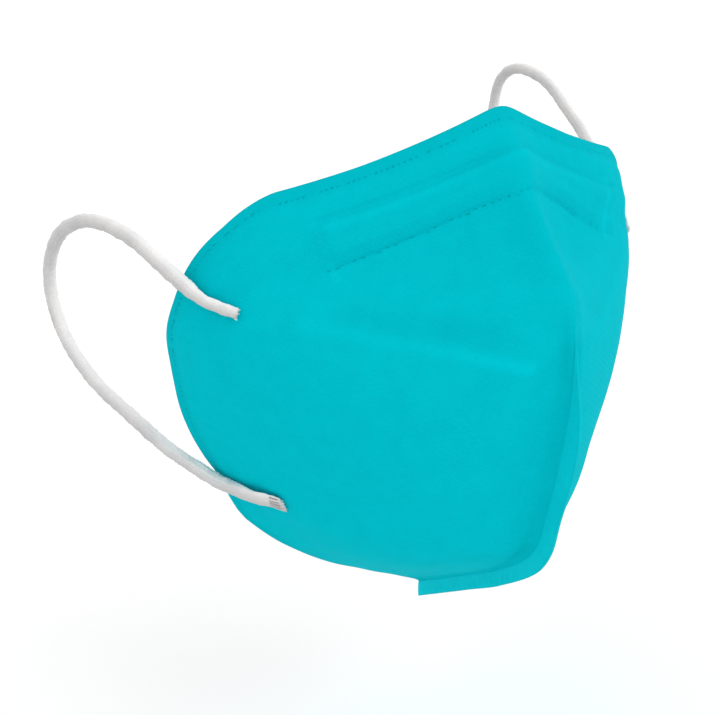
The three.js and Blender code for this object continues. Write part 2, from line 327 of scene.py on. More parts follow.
loopRoutes = {  # the places that each loop passes between its two welds, upper to lower
    "right": [
        (-0.0746, -0.011, 0.0329), (-0.0751, -0.0091, 0.0342), (-0.076, -0.0064, 0.0354),
        (-0.0776, -0.0051, 0.0375), (-0.078, -0.0009, 0.0389), (-0.0783, 0.0045, 0.0406),
        (-0.0785, 0.0098, 0.0423), (-0.0787, 0.0164, 0.0434), (-0.079, 0.0289, 0.0441),
        (-0.0793, 0.0429, 0.0421), (-0.0795, 0.0564, 0.0361), (-0.0795, 0.0647, 0.0274),
        (-0.0795, 0.0666, 0.0199), (-0.0795, 0.0646, 0.0129), (-0.0793, 0.0572, 0.0048),
        (-0.079, 0.0422, -0.0016), (-0.0782, 0.0251, -0.0048), (-0.0766, 0.0163, -0.0079),
        (-0.0743, 0.0115, -0.0111), (-0.0718, 0.0076, -0.0136), (-0.069, 0.0053, -0.0161),
        (-0.0663, 0.0032, -0.0189), (-0.0643, -0.0002, -0.02), (-0.0627, -0.0037, -0.0206),
        (-0.0611, -0.0064, -0.0216),
    ],
    "left": [
        (0.0746, -0.011, 0.0329), (0.0751, -0.0091, 0.0342), (0.076, -0.0064, 0.0354),
        (0.0773, -0.0025, 0.0385), (0.0776, 0.0025, 0.045), (0.0774, 0.0101, 0.0525),
        (0.0776, 0.0142, 0.0571), (0.078, 0.0202, 0.0622), (0.0788, 0.0266, 0.0674),
        (0.0794, 0.0318, 0.0704), (0.0799, 0.0389, 0.0725), (0.0802, 0.0452, 0.073),
        (0.0805, 0.0515, 0.07), (0.0808, 0.055, 0.062), (0.0805, 0.055, 0.051),
        (0.08, 0.052, 0.041), (0.0795, 0.047, 0.031), (0.0785, 0.0405, 0.021),
        (0.0775, 0.033, 0.012), (0.0763, 0.026, 0.0035), (0.0748, 0.019, -0.0045),
        (0.0728, 0.0123, -0.0114), (0.0696, 0.0073, -0.0164), (0.0663, 0.0032, -0.0189),
        (0.0643, -0.0002, -0.02), (0.0627, -0.0037, -0.0206), (0.0611, -0.0064, -0.0216),
    ],
}


def cheekFrame(weld, side):  # the middle of a weld, the cheek's normal there and the way its strand leaves
    step = 0.01
    down = weld["down"] + np.array([0, -step, step, 0, 0])
    across = weld["across"] + np.array([0, 0, 0, -step, step])
    points = sectionPoint(down, across)
    normal = unit(np.cross(points[2] - points[1], points[4] - points[3]))
    leaves = np.array(weld["leaves"])
    leaves = unit(leaves - normal * (leaves @ normal))
    mirrored = np.array([side, 1, 1])
    return points[0] * mirrored, normal * mirrored, leaves * mirrored


def loopRoute(name, side):  # the whole way of a loop, with the cheek's normals at its two ends
    half, lift = loop["endLength"] / 2, loop["endLift"]
    upper, upperNormal, upperLeaves = cheekFrame(welds["upper"], side)
    lower, lowerNormal, lowerLeaves = cheekFrame(welds["lower"], side)
    points = [np.array(point) for point in loopRoutes[name]]
    if side > 0:
        for step, settle in enumerate(loop["leftUpper"]["settle"]):
            points[step] = points[step] - upperNormal * settle
    upper = upper + upperNormal * (loop["leftUpper"]["lift"] if side > 0 else lift)
    lower = lower + lowerNormal * lift
    points = [upper - upperLeaves * half, upper, *points, lower, lower - lowerLeaves * half]
    return np.array(points), upperNormal, lowerNormal


def evenlySpaced(line):  # the same line as points a ring apart
    run = np.concatenate([[0], np.cumsum(np.linalg.norm(np.diff(line, axis=0), axis=1))])
    even = np.linspace(0, run[-1], int(run[-1] / loop["ring"]))
    return np.column_stack([np.interp(even, run, line[:, axis]) for axis in range(3)])


def softened(line):  # the line's moving mean, which keeps its two ends
    window = int(loop["smoothing"] / loop["ring"]) | 1
    padded = np.pad(line, ((window // 2, window // 2), (0, 0)), mode="reflect", reflect_type="odd")
    return np.column_stack([np.convolve(padded[:, axis], np.ones(window) / window, mode="valid")
                            for axis in range(3)])


def strandLine(name, side):  # points a ring apart, from one cut end round to the other
    route, upperNormal, lowerNormal = loopRoute(name, side)
    line = throughRows(route, np.linspace(0, 1, loop["routePlaces"]))
    for _ in range(2):
        line = softened(evenlySpaced(line))
    return line, upperNormal, lowerNormal


def strandSides(line, startNormal, endNormal):  # a frame carried along the strand without twist
    tangents = unit(np.gradient(line, axis=0))
    normals = np.zeros_like(line)
    normals[0] = unit(startNormal - tangents[0] * (startNormal @ tangents[0]))
    for step in range(1, len(line)):
        carried = normals[step - 1] - tangents[step] * (normals[step - 1] @ tangents[step])
        normals[step] = unit(carried)
    wanted = unit(endNormal - tangents[-1] * (endNormal @ tangents[-1]))
    sides = np.cross(tangents, normals)
    turn = math.atan2(wanted @ sides[-1], wanted @ normals[-1])
    angles = turn * smoothStep(0.1, 0.9, np.linspace(0, 1, len(line)))[:, None]
    turned = normals * np.cos(angles) + sides * np.sin(angles)
    return turned, np.cross(tangents, turned)


def stitchHeight(angle, run):  # rows of small chevrons, the face of a knitted tube
    wale = (angle / (2 * math.pi) * loop["wales"]) % 1 * 2 - 1
    arm = run / loop["stitch"] - loop["stitchSlope"] * np.abs(wale)
    return 0.5 + 0.5 * np.cos(2 * math.pi * arm) - loop["ribDepth"] * np.abs(wale) ** 3


def lumpHeight(angle, run, side):  # the soft unevenness of limp elastic, from -1 to 1
    places = np.column_stack([run / loop["lumpLength"], np.cos(angle), np.sin(angle) + 7 * side])
    return np.array([noise.noise(Vector(place)) for place in places])


def endShape(fromEnd, width, height):  # width and height factors of the section near a welded end
    free = smoothStep(loop["flatShare"], 1, fromEnd / (loop["endLength"] + loop["flattenOver"]))
    return mixed(width, 1, free), mixed(height, 1, free)


def sectionShape(fromUpper, fromLower, side):  # the same all along the strand
    upper, lower = welds["upper"], welds["lower"]
    upperHeight = loop["leftUpper"]["height"] if side > 0 else upper["height"]
    nearUpper = fromUpper < fromLower
    startWidth, startHeight = endShape(fromUpper, upper["width"], upperHeight)
    endWidth, endHeight = endShape(fromLower, lower["width"], lower["height"])
    return np.where(nearUpper, startWidth, endWidth), np.where(nearUpper, startHeight, endHeight)


def stampShare(fromLower, aside):  # how deep a place is in the grooves; aside runs from -1 to 1
    pressed = smoothStep(*stamp["starts"], fromLower) * (1 - smoothStep(*stamp["ends"], fromLower))
    waves = 0.5 - 0.5 * np.cos(math.pi * stamp["grooves"] * (aside + 1))
    return pressed * smoothStep(*stamp["edges"], waves)


def dentDepth(fromUpper, across):
    return dent["depth"] * bell(fromUpper - dent["from"], dent["length"]) * bell(
        across - dent["aside"], dent["width"])


def slantedCut(fromUpper, fromLower, across):  # the ends are cut a little on the slant
    ends = ((fromUpper, welds["upper"]), (fromLower, welds["lower"]))
    return sum(bell(away, weld["slantOver"]) * across * weld["slant"] for away, weld in ends)


def strandPoints(line, normals, sides, angle, ring, side):  # the tube, how stamped and how shaded it is
    run = np.arange(len(line)) * loop["ring"]
    fromUpper, fromLower = run[ring], run[::-1][ring]
    width, height = sectionShape(fromUpper, fromLower, side)
    radius = (loop["diameter"] - loop["stitchDepth"]) / 2
    relief = loop["stitchDepth"] * stitchHeight(angle, fromUpper) * smoothStep(0.4, 0.9, height)
    relief += loop["lumps"] * lumpHeight(angle, fromUpper, side)
    cosine, sine = np.cos(angle), np.sin(angle)
    cosine = np.sign(cosine) * np.abs(cosine) ** (1 - loop["shoulders"] * (1 - height))
    across = cosine * (radius * width + relief)
    lift = sine * (radius * height + relief)
    stamped = np.where(sine > 0.15, stampShare(fromLower, across / (radius * width)), 0)
    lift -= stamped * stamp["depth"]
    lift -= np.where(sine > 0, dentDepth(fromUpper, across), 0)
    along = slantedCut(fromUpper, fromLower, across)
    tangents = unit(np.gradient(line, axis=0))[ring]
    points = (line[ring] + sides[ring] * across[:, None] + normals[ring] * lift[:, None]
              + tangents * along[:, None])
    outward = unit(sides[ring] * cosine[:, None] + normals[ring] * sine[:, None])
    under = 0.5 - 0.5 * (outward @ np.array(loop["lightFrom"]))
    return points, stamped, under


def makeLoop(name, side, material):
    line, startNormal, endNormal = strandLine(name, side)
    normals, sides = strandSides(line, startNormal, endNormal)
    rings = len(line)
    bm, flat = flatGrid(loop["around"], rings - 1, 0.5)
    flat = flat + 0.5
    angle = flat[:, 0] * 2 * math.pi
    ring = np.rint(flat[:, 1] * (rings - 1)).astype(int)
    points, stamped, under = strandPoints(line, normals, sides, angle, ring, side)
    mapFaces(bm, "strand", flat)
    placeVerts(bm, points, stamp=stamped, under=under)
    bmesh.ops.remove_doubles(bm, verts=bm.verts, dist=0.001 * mm)
    rims = [edge for edge in bm.edges if edge.is_boundary]
    bmesh.ops.holes_fill(bm, edges=rims, sides=loop["around"] + 1)
    bmesh.ops.recalc_face_normals(bm, faces=bm.faces)
    made = meshObject("ear_loop_cord_" + name, bm, [material])
    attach(made, "root")
    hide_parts("ear_loop_" + name, "loop_end_" + name + "_upper", "loop_end_" + name + "_lower")


# materials

def startMaterial(name):
    material = bpy.data.materials.new(name)
    material.use_nodes = True
    tree = material.node_tree
    return material, tree, tree.nodes["Principled BSDF"]


def addNode(tree, kind, **settings):
    node = tree.nodes.new(kind)
    for name, value in settings.items():
        if name in node.inputs:
            node.inputs[name].default_value = value
        else:
            setattr(node, name, value)
    return node


def addMapping(tree, source, scale, turn=0):
    node = addNode(tree, "ShaderNodeMapping", Scale=scale, Rotation=(0, 0, math.radians(turn)))
    tree.links.new(source, node.inputs["Vector"])
    return node.outputs["Vector"]


def addNoise(tree, source, **settings):
    node = addNode(tree, "ShaderNodeTexNoise", **settings)
    tree.links.new(source, node.inputs["Vector"])
    return node.outputs["Fac"]


def addMath(tree, operation, first, second):
    node = addNode(tree, "ShaderNodeMath", operation=operation)
    tree.links.new(first, node.inputs[0])
    tree.links.new(second, node.inputs[1])
    return node.outputs["Value"]


def addRange(tree, source, low, high, toLow, toHigh, clamp=True):  # brings a value from one range to another
    ends = {"From Min": low, "From Max": high, "To Min": toLow, "To Max": toHigh}
    node = addNode(tree, "ShaderNodeMapRange", clamp=clamp, **ends)
    tree.links.new(source, node.inputs["Value"])
    return node.outputs["Result"]


def addTint(tree, source, shadeAt, colourAt, look):  # from the look's shade to its colour
    ramp = addNode(tree, "ShaderNodeValToRGB")
    tree.links.new(source, ramp.inputs["Fac"])
    ends = ramp.color_ramp.elements
    for end, position, colour in zip(ends, (shadeAt, colourAt), (look["shade"], look["colour"])):
        end.position = position
        end.color = (*colour, 1)
    return ramp.outputs["Color"]


def addMark(tree, name):  # a value that the mesh stores at its vertices
    return addNode(tree, "ShaderNodeAttribute", attribute_name=name).outputs["Fac"]


def darkenBy(tree, colour, share):
    node = addNode(tree, "ShaderNodeMix", data_type="RGBA", blend_type="MULTIPLY")
    node.inputs["Factor"].default_value = 1
    tree.links.new(colour, node.inputs[6])
    tree.links.new(share, node.inputs[7])
    return node.outputs[2]


def addBump(tree, shader, height, strength, distance):
    node = addNode(tree, "ShaderNodeBump", Strength=strength, Distance=distance)
    tree.links.new(height, node.inputs["Height"])
    tree.links.new(node.outputs["Normal"], shader.inputs["Normal"])


def fibreWeb(tree, source, look):  # three lays of long fibres over one another
    lays = []
    for turn, stretch in ((12, 7), (74, 8), (131, 6)):
        lay = addMapping(tree, source, (look["fibreScale"], look["fibreScale"] * stretch, 1), turn)
        lays.append(addNoise(tree, lay, Scale=0.55, Detail=3, Roughness=0.55))
    return addMath(tree, "MAXIMUM", addMath(tree, "MAXIMUM", lays[0], lays[1]), lays[2])


def bondPoints(tree, source, look):  # the lattice of bond points, set on the diagonal
    lattice = addMapping(tree, source, (1 / look["bondPitch"], 1.35 / look["bondPitch"], 1), 38)
    points = addNode(tree, "ShaderNodeTexVoronoi", Scale=1, Randomness=0.06)
    tree.links.new(lattice, points.inputs["Vector"])
    return addRange(tree, points.outputs["Distance"], 0.2, 0.36, 0, 1)


def clothMaterial(name, look):
    material, tree, shader = startMaterial(name)
    pattern = addNode(tree, "ShaderNodeUVMap", uv_map="cloth").outputs["UV"]
    ruled = addMapping(tree, pattern, look["patternSize"])
    bonds = bondPoints(tree, ruled, look)
    web = fibreWeb(tree, ruled, look)

    cloud = addNoise(tree, ruled, Scale=0.16, Detail=5, Roughness=0.6)
    tint = addTint(tree, cloud, 0.3, 0.72, look)
    speck = addRange(tree, web, 0.42, 0.72, 1 - look["fibreContrast"], 1)
    # the stored 'pressed' values darken the welded hem and weld lines, add painted shade under the nose
    # strip, beside the seam and in the crease hollow, and below 0 add painted highlights on crests
    pressed = addRange(tree, addMark(tree, "pressed"), 0, 1, 1, 1 - look["weldToneAndPaintedShadeDarker"], clamp=False)
    colour = darkenBy(tree, darkenBy(tree, tint, speck), pressed)
    tree.links.new(colour, shader.inputs["Base Color"])

    addBump(tree, shader, addMath(tree, "MULTIPLY", web, bonds), look["bump"], 0.1 * mm)
    rough = addRange(tree, bonds, 0, 1, look["roughness"] - 0.18, look["roughness"])
    tree.links.new(rough, shader.inputs["Roughness"])
    shader.inputs["Specular IOR Level"].default_value = look["gloss"]
    shader.inputs["Sheen Weight"].default_value = look["sheen"]
    shader.inputs["Sheen Roughness"].default_value = 0.5
    shader.inputs["Sheen Tint"].default_value = (*look["sheenTint"], 1)
    return material


teal = {
    "patternSize": (205, 145, 1),  # millimetres of cloth that the pattern covers
    "colour": (0.0, 0.472, 0.55),
    "shade": (0.0, 0.444, 0.514),
    "bondPitch": 1.5,
    "fibreScale": 1.0,
    "fibreContrast": 0.06,
    "bump": 0.45,
    "roughness": 0.86,
    "gloss": 0.01,
    "sheen": 0.01,
    "sheenTint": (0.0, 0.8, 0.9),
    "weldToneAndPaintedShadeDarker": 0.17,
}
# the fin's teal is painted lighter than the body's to make up for the shade it stands in; its web is also
# smoother, glossier and finer
finTealPaintedLighter = {**teal, "colour": (0.0, 0.56, 0.64), "shade": (0.0, 0.52, 0.6), "roughness": 0.75,
               "gloss": 0.04, "bump": 0.2, "bondPitch": 0.9}
dotTeal = {**teal, "colour": (0.0, 0.385, 0.45), "shade": (0.0, 0.355, 0.415)}
innerWhite = {**teal, "colour": (0.84, 0.86, 0.86), "shade": (0.78, 0.81, 0.82), "roughness": 0.9,
              "gloss": 0.2, "sheen": 0.1, "sheenTint": (1, 1, 1), "fibreContrast": 0.04}
elastic = {
    "colour": (0.9, 0.885, 0.875),
    "shade": (0.77, 0.76, 0.765),
    # the knit's colour in the stamped grooves
    "stamp": (0.36, 0.29, 0.3),
    "underDarker": 0.47,  # how much darker the knit is on the side away from the light
    "roughness": 0.92,
    "gloss": 0.2,
    "sheen": 0.25,
    "bump": 0.4,
}


def elasticMaterial(name, look):
    material, tree, shader = startMaterial(name)
    place = addNode(tree, "ShaderNodeTexCoord").outputs["Object"]
    yarn = addNoise(tree, place, Scale=2600, Detail=4, Roughness=0.65)
    wear = addNoise(tree, place, Scale=160, Detail=2)
    tint = addTint(tree, addMath(tree, "MULTIPLY", yarn, wear), 0.12, 0.34, look)
    # the knit is coloured darker in the stamped grooves of the lower ends
    stampedGrooveTone = addNode(tree, "ShaderNodeMix", data_type="RGBA")
    stampedGrooveTone.inputs[7].default_value = (*look["stamp"], 1)
    tree.links.new(addMark(tree, "stamp"), stampedGrooveTone.inputs["Factor"])
    tree.links.new(tint, stampedGrooveTone.inputs[6])
    under = addRange(tree, addMark(tree, "under"), 0, 1, 1, 1 - look["underDarker"])
    tree.links.new(darkenBy(tree, stampedGrooveTone.outputs[2], under), shader.inputs["Base Color"])
    addBump(tree, shader, yarn, look["bump"], 0.12 * mm)
    shader.inputs["Roughness"].default_value = look["roughness"]
    shader.inputs["Specular IOR Level"].default_value = look["gloss"]
    shader.inputs["Sheen Weight"].default_value = look["sheen"]
    shader.inputs["Sheen Roughness"].default_value = 0.6
    return material


clothTeal = clothMaterial("tealWeb", teal)
finClothPaintedLighter = clothMaterial("tealFinPaintedLighter", finTealPaintedLighter)
clothDots = clothMaterial("tealWeldDots", dotTeal)
clothInner = clothMaterial("whiteInnerWeb", innerWhite)
loopWhite = elasticMaterial("knittedElastic", elastic)
print("materials ready")

makeLoop("right", -1, loopWhite)
makeLoop("left", 1, loopWhite)


# the cloth

cloth = {
    "thickness": 1.4 * mm,
    "rimShare": 0.5,  # how thin the welded rim is, as a share of that
    "rimWidth": (0.5 * mm, 4.5 * mm),  # and between which distances from the edge it thickens
    "rimGrowth": 0.3 * mm,
    "hemStep": 0.55 * mm,  # spacing of the lines beside a cut edge
    "hemLines": 10,
    "noseLines": 46,  # lines at that spacing from the top edge down past the nose strip
    "seamStep": 0.5 * mm,
    "seamLines": 16,
    "rows": 160,
    "columns": 108,  # of one cheek
    "liningSmooth": 4,
    "flare": 0.9 * mm,  # how far the cloth is drawn out beside the chin seam
    "flareWidth": 2.8 * mm,
}
weldDots = {
    "top": 2.8 * mm,  # how far the rows of dots lie from the edges
    "side": 2.6 * mm,
    "kept": 0.8,  # share of the dots that is there
    "leastFace": 0.13 * mm * mm,
    "wall": 0.12 * mm,
    "depths": (0.04 * mm, 0.08 * mm, 0.12 * mm),
    "loopCrosses": (0.2, 0.36),  # between these shares of the free edge the welding wanders
}
noseStrip = {
    "upper": 10.1 * mm,  # the weld line above the strip, from the top edge
    "follow": 0.6,  # how far that line follows the lower one down on the left cheek
    "flank": 4.5 * mm,  # the strip falls away over this depth, down to the weld line below it
    "crown": 0.65,
    "reach": 51.8 * mm,  # its ends are cut straight, a little on the slant
    "slant": 0.23,
    "leftExtra": 7 * mm,
    "height": 1.3 * mm,
    "upperRamp": 1.7 * mm,
    "endRamp": 2.8 * mm,
    "wire": dict(at=3.6 * mm, halfWidth=1.5 * mm, height=0.15 * mm),
    "upperGroove": dict(at=-0.2 * mm, halfWidth=0.55 * mm, height=-0.12 * mm),
    "lowerGroove": dict(at=0.2 * mm, halfWidth=0.6 * mm, height=-0.17 * mm),
    "puff": dict(at=1.9 * mm, halfWidth=0.9 * mm, height=0.16 * mm),
    # millimetres out from the centre line, and down to the weld line there
    "lowerRight": ((0, 21), (3, 21.3), (11, 20.9), (18, 21.8),
                   (25, 22.6), (33, 23.3), (40, 23.9), (54, 24.6)),
    "lowerLeft": ((0, 21), (9, 20), (17, 20.8), (24, 21.8),
                  (32, 25), (37, 26.8), (44, 29.2), (53, 31)),
}
# folds from one place to another, in shares of the panel, with heights and half widths in millimetres
crease = dict(down=0.385, across=0.09, toDown=0.283, toAcross=0.58)  # from the tip towards the cheek
folds = {
    "soft": dict(**crease, height=0.45, halfWidth=3),
    "sharp": dict(**crease, height=0.36, halfWidth=1.1),
    "hollow": dict(down=0.34, across=0.17, toDown=0.28, toAcross=0.45, height=-0.9, halfWidth=4),
    "besideSeam": dict(down=0.35, across=0.05, toDown=0.68, toAcross=0.05, height=-0.8, halfWidth=4),
}
foldPanel = {"width": 95, "height": 135}  # millimetres of cloth that the folds are measured on
valley = {  # the dip beside the seam
    "away": 2.3 * mm,
    "halfWidth": 1.7 * mm,
    "side": 0.25 * mm,
    "tip": dict(at=0.375, halfWidth=0.055, height=0.9 * mm),
    "chin": dict(at=0.7, halfWidth=0.05, height=0.7 * mm),
}
relief = {  # unevenness of the web, and how it is drawn in round a welded loop end
    "hem": -0.12 * mm,
    "hemWidth": (3.6 * mm, 5.4 * mm),
    "puff": dict(at=6.4 * mm, halfWidth=1.6 * mm, height=0.08 * mm),
    "waves": 0.3 * mm,
    "smallWaves": 0.1 * mm,
    "edgeWaves": 0.25 * mm,
    "loopSink": dict(at=0, halfWidth=4.5 * mm, height=-0.35 * mm),
    "loopPull": dict(at=8 * mm, halfWidth=2.5 * mm, height=0.25 * mm),
}
weldToneAndPaintedLight = {  # how much darker the web is coloured: the welded hem and weld lines are pressed darker, the darkening on the strip's flank, by the seam and in the crease hollow is painted shade, and values below 0 are painted highlights on crests and the strip's ends
    "hem": 0.35,
    "hemWidth": (2.5 * mm, 5.5 * mm),
    # painted shade on the lower flank of the nose strip
    "noseFlank": dict(at=14 * mm, halfWidth=18 * mm, height=0.08),
    "noseLeft": 0.45,
    "noseUpper": dict(at=-0.2 * mm, halfWidth=0.6 * mm, height=0.15),
    # painted highlights on the strip's crest and at its cut ends
    "noseCrest": dict(at=2.2 * mm, halfWidth=0.9 * mm, height=-0.2),
    "noseEnd": dict(at=0.8 * mm, halfWidth=1.2 * mm, height=-0.45),
    # painted shade in the dip beside the seam below the tip, at the chin and all along it, and in the crease
    # hollow
    "belowTip": dict(at=0.37, halfWidth=0.055, height=0.45),
    "chin": dict(at=0.7, halfWidth=0.05, height=0.4),
    "seam": 0.12,
    "hollow": dict(at=0, halfWidth=3, height=0.4),
    # a painted highlight along the crease crest, brighter near the tip
    "crease": dict(at=0, halfWidth=1.2, height=-1),
    "nearTip": dict(at=0.14, halfWidth=0.1, height=0.45),
    "awayFromTip": 0.3,
}


def spacedLines(count, length, fineCount, fineStep, endCount, endStep):  # distances of grid lines
    index = np.arange(count + 1)[:, None]
    start = fineCount * fineStep
    end = length - endCount * endStep
    middle = start + (index - fineCount) / (count - fineCount - endCount) * (end - start)
    lines = np.where(index <= fineCount, index * fineStep, middle)
    return np.where(index >= count - endCount, length - (count - index) * endStep, lines)


def foldAway(fold, down, across):  # millimetres from the line of one fold
    here = np.column_stack([across * foldPanel["width"], down * foldPanel["height"]])
    start = np.array([fold["across"] * foldPanel["width"], fold["down"] * foldPanel["height"]])
    end = np.array([fold["toAcross"] * foldPanel["width"], fold["toDown"] * foldPanel["height"]])
    part = np.clip((here - start) @ (end - start) / ((end - start) @ (end - start)), 0, 1)
    return np.linalg.norm(here - start - part[:, None] * (end - start), axis=1)


def onRight(swing):  # creases are sharp on the right cheek and faint on the left
    return np.where(swing < 0, 1, 0.25)


def foldHeight(down, swing):
    across = np.abs(swing)
    total = sum(fold["height"] * bell(foldAway(fold, down, across), fold["halfWidth"])
                for fold in folds.values())
    return total * mm * onRight(swing) * np.minimum(1, across / 0.05)


def noseLower(swing, out):  # how far the weld line below the strip lies from the top edge
    right, left = (np.array(noseStrip[side]).T * mm for side in ("lowerRight", "lowerLeft"))
    return np.where(swing < 0, np.interp(out, *right), np.interp(out, *left))


def noseEnd(fromTop, out):  # how far inside the ends of the strip a place lies
    return noseStrip["reach"] - noseStrip["slant"] * (fromTop - noseStrip["upper"]) - out


def noseHeight(swing, fromTop, out):
    lower = noseLower(swing, out)
    upper = noseStrip["upper"] + noseStrip["follow"] * (lower - noseLower(-np.abs(swing), out))
    end = noseEnd(fromTop, out)
    reaching = end + np.where(swing > 0, noseStrip["leftExtra"], 0)
    inside = smoothStep(0, noseStrip["endRamp"], reaching)
    rising = smoothStep(0, noseStrip["upperRamp"], fromTop - upper)
    falling = np.clip((lower - fromTop) / noseStrip["flank"], 0, 1) ** noseStrip["crown"]
    welds = (ripple(fromTop - upper, noseStrip["upperGroove"])
             + ripple(fromTop - lower, noseStrip["lowerGroove"])
             + ripple(fromTop - lower, noseStrip["puff"]))
    band = rising * falling * noseStrip["height"] + ripple(fromTop - upper, noseStrip["wire"])
    return inside * band + smoothStep(-1.5 * mm, 0, end) * welds


def valleyHeight(down, fromCentre):  # the web dips beside the seam, most below the tip and at the chin
    depth = valley["side"] * smoothStep(0.34, 0.4, down) * (1 - smoothStep(0.85, 0.98, down))
    depth = depth + ripple(down, valley["tip"]) + ripple(down, valley["chin"])
    return -depth * bell(fromCentre - valley["away"], valley["halfWidth"])


def loopPulls(down, across):  # the web sinks a little under each welded loop end and pulls round it
    total = np.zeros(len(down))
    for weld in welds.values():
        away = np.hypot((down - weld["down"]) * columnLength(across),
                        (across - weld["across"]) * rowLength(down))
        total += ripple(away, relief["loopSink"]) + ripple(away, relief["loopPull"])
    return total


def wander(points, scale, seed):  # soft unevenness, from -1 to 1
    shift = Vector((seed, seed * 0.7, -seed))
    return np.array([noise.noise(Vector(point) * scale + shift) for point in points])


def edgeDistances(down, swing):  # from the top edge, the bottom edge, the free edge and the centre
    across = np.abs(swing)
    width, height = rowLength(down), columnLength(across)
    return down * height, (1 - down) * height, (1 - across) * width, across * width


def rimAway(down, swing):  # how far a place lies from the cut edges, round the top corners too
    fromTop, fromBottom, fromEdge, _ = edgeDistances(down, swing)
    deep, wide = form["topCorner"]
    byTop = np.maximum(0, 1 - down / deep)
    byEdge = np.maximum(0, 1 - (1 - np.abs(swing)) / wide)
    reach = np.hypot(byTop * np.sqrt(1 - byEdge ** 2 / 2), byEdge * np.sqrt(1 - byTop ** 2 / 2))
    radius = byTop * deep * columnLength(np.abs(swing)) + byEdge * wide * rowLength(down)
    radius = radius / np.maximum(byTop + byEdge, 0.001)
    corner = np.where(reach > 0, radius * (1 - reach), 1)
    return np.minimum(np.minimum(corner, fromBottom), np.minimum(fromTop, fromEdge))


# the weld line above the nose strip is pressed darker; the strip's lower flank gets painted shade, and its
# crest and cut ends get painted highlights
def noseWeldAndPaintedLight(swing, fromTop, fromCentre):
    lower = noseLower(swing, fromCentre)
    below, under = fromTop - noseStrip["upper"], fromTop - lower
    end = noseEnd(fromTop, fromCentre)
    onFlank = smoothStep(-1.05, -0.5, under / noseStrip["flank"]) * (1 - smoothStep(0, 0.6 * mm, under))
    flank = (0.02 + ripple(fromCentre, weldToneAndPaintedLight["noseFlank"])) * np.where(swing < 0, 1, weldToneAndPaintedLight["noseLeft"])
    beside = smoothStep(-1 * mm, 1 * mm, below) * (1 - smoothStep(3 * mm, 5 * mm, under))
    share = flank * onFlank + ripple(below, weldToneAndPaintedLight["noseUpper"]) + ripple(below, weldToneAndPaintedLight["noseCrest"])
    return smoothStep(0, 1 * mm, end) * (share + beside * ripple(end, weldToneAndPaintedLight["noseEnd"]))


# painted shade in the hollow above the crease and a painted highlight along its crest
def creasePaintedLight(down, swing):
    across = np.abs(swing)
    hollow = ripple(foldAway(folds["hollow"], down, across), weldToneAndPaintedLight["hollow"])
    crest = ripple(foldAway(folds["sharp"], down, across), weldToneAndPaintedLight["crease"])
    return onRight(swing) * (hollow + crest * (weldToneAndPaintedLight["awayFromTip"] + ripple(across, weldToneAndPaintedLight["nearTip"])))


def weldToneAndPaintedLightShare(down, swing):  # how much darker the web is coloured: pressed darker at the welded hem and weld lines, painted shade on the strip's flank, beside the seam and in the crease hollow, and painted highlights, below 0, on crests
    fromTop, _, _, fromCentre = edgeDistances(down, swing)
    hem = weldToneAndPaintedLight["hem"] * (1 - smoothStep(*weldToneAndPaintedLight["hemWidth"], rimAway(down, swing)))
    alongSeam = ripple(down, weldToneAndPaintedLight["belowTip"]) + ripple(down, weldToneAndPaintedLight["chin"])
    alongSeam += weldToneAndPaintedLight["seam"] * smoothStep(0.36, 0.44, down)
    besideSeam = bell(fromCentre - valley["away"] * 0.8, valley["halfWidth"])
    return (noseWeldAndPaintedLight(swing, fromTop, fromCentre) + hem + besideSeam * alongSeam
            + creasePaintedLight(down, swing))


def clothRelief(down, swing, points):
    fromTop, _, _, fromCentre = edgeDistances(down, swing)
    drawnDown, drawnSwing = cornerPlace(down, swing)
    nearest = rimAway(down, swing)
    hem = relief["hem"] * (1 - smoothStep(*relief["hemWidth"], nearest)) + ripple(nearest, relief["puff"])
    waves = relief["waves"] * wander(points, 42, 3.1) + relief["smallWaves"] * wander(points, 130, 8.4)
    edgeWaves = relief["edgeWaves"] * wander(points, 95, 5.7) * bell(nearest, 5 * mm)
    return (foldHeight(drawnDown, drawnSwing) + noseHeight(swing, fromTop, fromCentre)
            + valleyHeight(down, fromCentre) + loopPulls(drawnDown, np.abs(drawnSwing))
            + hem + edgeWaves + waves * smoothStep(0, 6 * mm, nearest))


def seamFlare(down, swing):  # how far the cloth is drawn out beside the welded seam
    near = np.clip(1 - np.abs(swing) * rowLength(down) / cloth["flareWidth"], 0, 1)
    return cloth["flare"] * smoothStep(0.36, 0.5, down) * near ** 2


def ridgeOut(down):  # the way out of the centre line, in the centre plane
    above = throughRows(sectionTable, np.maximum(down - 0.01, 0))
    below = throughRows(sectionTable, np.minimum(down + 0.01, 1))
    step = below - above
    return unit(np.column_stack([np.zeros(len(down)), step[:, 1], -step[:, 0]]))


def edgeGrowth(down, swing):  # the flattened rim spreads a little past the folded pattern
    inward = 0.985
    inner = roundedPoint(*cornerPlace(0.5 + (down - 0.5) * inward, swing * inward))
    away = roundedPoint(*cornerPlace(down, swing)) - inner
    away /= np.linalg.norm(away, axis=1, keepdims=True) + 1e-9
    return cloth["rimGrowth"] * away * (1 - smoothStep(0, 6 * mm, rimAway(down, swing)))[:, None]


def clothNormals(down, swing):  # the way out of the cloth, from the form and not from its faces
    step = form["runStep"] / 4
    above, below = np.maximum(down - step, 0), np.minimum(down + step, 1)
    right, left = np.maximum(swing - step, -1), np.minimum(swing + step, 1)
    along = roundedPoint(below, swing) - roundedPoint(above, swing)
    around = roundedPoint(down, left) - roundedPoint(down, right)
    return unit(np.cross(along, around))


